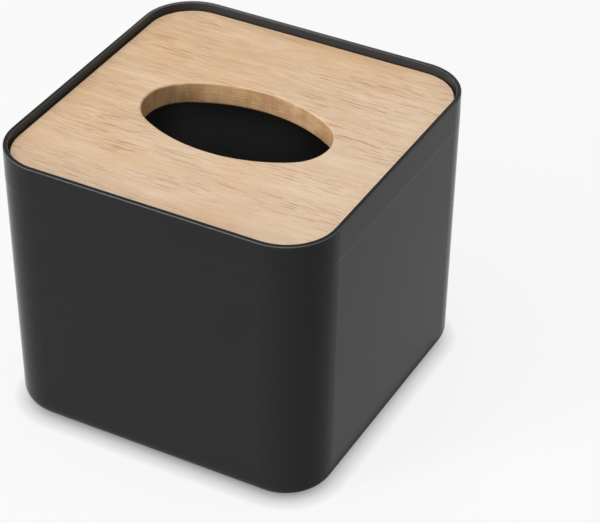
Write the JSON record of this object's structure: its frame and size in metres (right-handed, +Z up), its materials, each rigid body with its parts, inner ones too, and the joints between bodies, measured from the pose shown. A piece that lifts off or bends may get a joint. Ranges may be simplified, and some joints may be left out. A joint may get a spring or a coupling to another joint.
{
  "type": "tissue box cover",
  "caption": "Square tissue box cover: dark moulded tub with rounded corners, recessed lift-off wooden lid with an oval dispensing hole",
  "frame": {"origin": "on the table under the middle of the box, level with the undersides of the four pads", "axes": "+Z up; X runs along the lid's oval opening; -Y is the side that the picture shows at the lower left, +X the side that it shows at the right"},
  "size_m": [0.11, 0.11, 0.095],
  "materials": {
    "shell_plastic": "fine matt moulded",
    "lid_wood": "light satin, fine straight grain",
    "pad_rubber": "matt"
  },
  "bodies": {
    "box": {"box_body": "shell_plastic", "pad_front_left": "pad_rubber", "pad_front_right": "pad_rubber", "pad_back_left": "pad_rubber", "pad_back_right": "pad_rubber"},
    "lid": {"wood_lid": "lid_wood"}
  },
  "joints": [
    {"name": "lid_lift", "type": "slide", "parent": "box", "child": "lid", "axis": [0, 0, 1], "range_m": [0, 0.12]}
  ]
}
